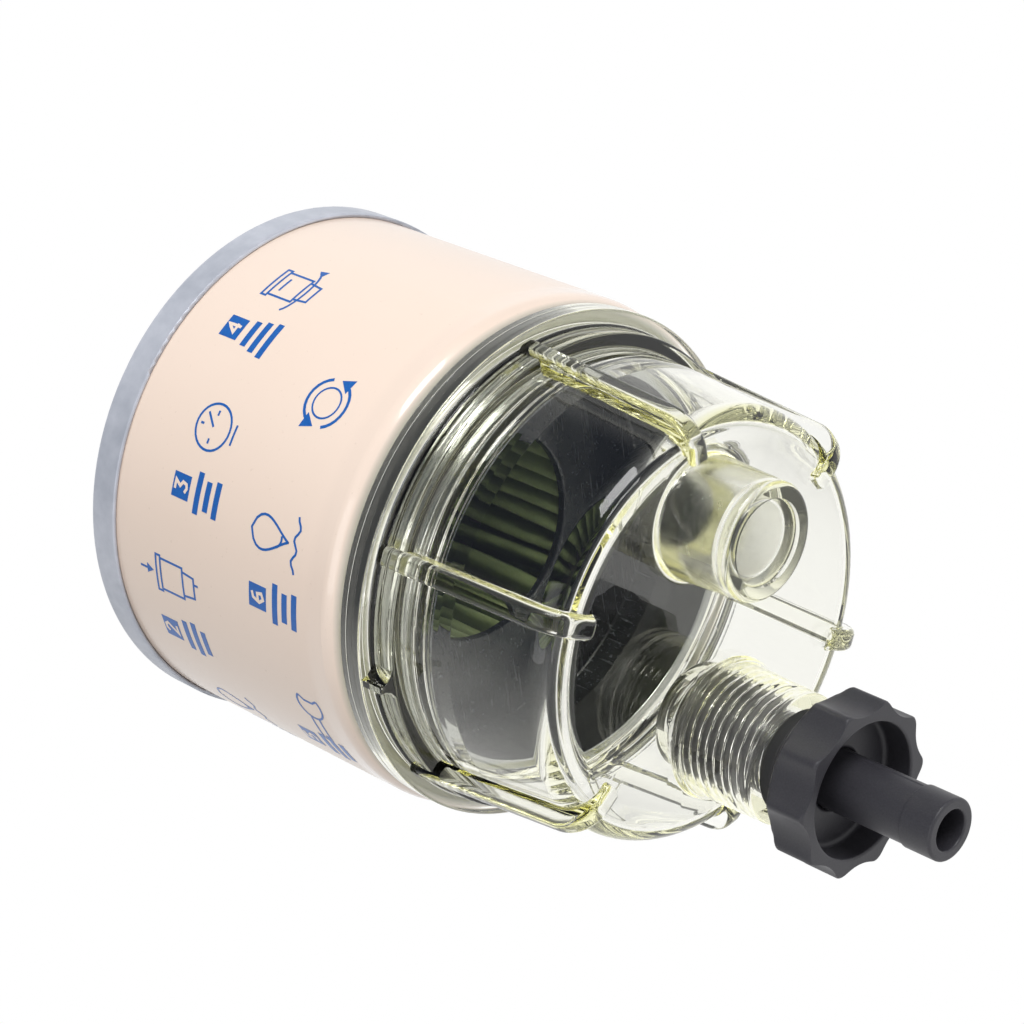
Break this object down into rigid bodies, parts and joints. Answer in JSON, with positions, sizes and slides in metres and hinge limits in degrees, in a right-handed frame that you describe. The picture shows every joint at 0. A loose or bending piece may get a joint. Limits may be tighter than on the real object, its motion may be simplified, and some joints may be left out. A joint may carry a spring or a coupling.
{
  "type": "fuel water separator",
  "caption": "Spin-on fuel water separator: painted can with a threaded head end, and a clear ribbed bowl below with a blind sensor boss and a drain valve.",
  "frame": {"origin": "centre of the mounting thread's mouth, on the upper face of the tapping plate", "axes": "+Z along the can's axis, up to the filter head; +X towards the sensor boss of the bowl, with the drain boss on the other side"},
  "size_m": [0.0814, 0.0814, 0.1347],
  "materials": {
    "can_paint": "gloss cream enamel with blue print",
    "galvanised_steel": "dull galvanised sheet",
    "plated_steel": "zinc plated steel",
    "collar_steel": "bright plated steel",
    "seal_rubber": "black nitrile",
    "filter_paper": "green resin-treated paper",
    "cap_plastic": "black moulding",
    "bowl_plastic": "clear polymer with a slight yellow tint",
    "valve_plastic": "black glass-filled nylon, satin"
  },
  "bodies": {
    "can": {"can_shell": "can_paint", "seam_retainer": "galvanised_steel", "tapping_plate": "plated_steel", "head_gasket": "seal_rubber", "centre_grommet": "seal_rubber", "upper_end_cap": "plated_steel", "pleated_media": "filter_paper", "media_seam_clip": "plated_steel", "lower_end_cap": "cap_plastic", "threaded_collar": "collar_steel"},
    "bowl_seal": {"bowl_seal_ring": "seal_rubber"},
    "bowl": {"bowl": "bowl_plastic"},
    "drain_seal": {"drain_seal_ring": "seal_rubber"},
    "drain_valve": {"drain_valve": "valve_plastic", "stem_seal_ring": "seal_rubber"}
  },
  "joints": [
    {"name": "bowl_drop", "type": "slide", "parent": "can", "child": "bowl_seal", "axis": [0, 0, -1], "range_m": [0, 0.008]},
    {"name": "bowl_turn", "type": "hinge", "parent": "bowl_seal", "child": "bowl", "pos_m": [0, 0, -0.0527], "axis": [0, 0, -1], "range_deg": [0, 1440]},
    {"name": "drain_drop", "type": "slide", "parent": "bowl", "child": "drain_seal", "axis": [0, 0, -1], "range_m": [0, 0.009]},
    {"name": "drain_turn", "type": "hinge", "parent": "drain_seal", "child": "drain_valve", "pos_m": [-0.01625, 0, -0.1023], "axis": [0, 0, -1], "range_deg": [0, 2160]}
  ],
  "couplings": [
    {"joint": "bowl_drop", "follows": "bowl_turn", "m_per_rad": 0.0003183},
    {"joint": "drain_drop", "follows": "drain_turn", "m_per_rad": 0.00023873}
  ]
}
